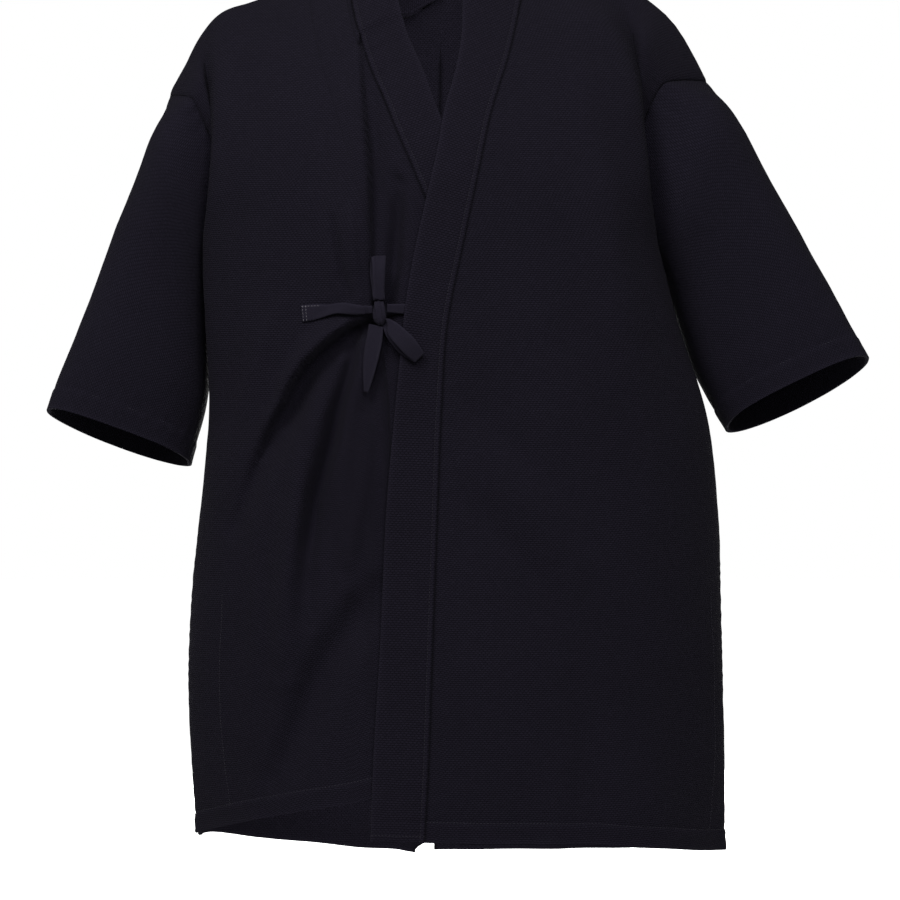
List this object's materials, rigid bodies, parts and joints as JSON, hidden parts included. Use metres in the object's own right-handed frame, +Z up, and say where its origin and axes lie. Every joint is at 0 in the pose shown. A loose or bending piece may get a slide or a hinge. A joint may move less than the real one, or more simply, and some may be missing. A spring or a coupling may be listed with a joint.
{
  "type": "kendo jacket",
  "caption": "Wide short-sleeved martial arts jacket of thick indigo cotton, with a crossed front, a stitched collar band, side slits and a tied chest bow, filled out with no wearer",
  "frame": {"origin": "between the two points where the collar seam meets the shoulder line, at their height, where the wearer's shoulders and nape carry the jacket", "axes": "+Z up along the wearer's spine, -Y towards the front, +X towards the wearer's left"},
  "size_m": [0.8043, 0.2651, 0.9138],
  "materials": {
    "indigo_body": "matte indigo cotton",
    "indigo_sleeve": "matte indigo cotton",
    "indigo_band": "matte indigo cotton",
    "indigo_tape": "matte indigo cotton"
  },
  "bodies": {
    "root": {"body_left": "indigo_body", "body_right": "indigo_body", "sleeve_left": "indigo_sleeve", "sleeve_right": "indigo_sleeve", "collar_band": "indigo_band", "tie_left": "indigo_tape", "tie_right": "indigo_tape", "bow_knot": "indigo_tape", "bow_loop_up": "indigo_tape", "bow_loop_down": "indigo_tape", "bow_tail": "indigo_tape"}
  },
  "joints": []
}
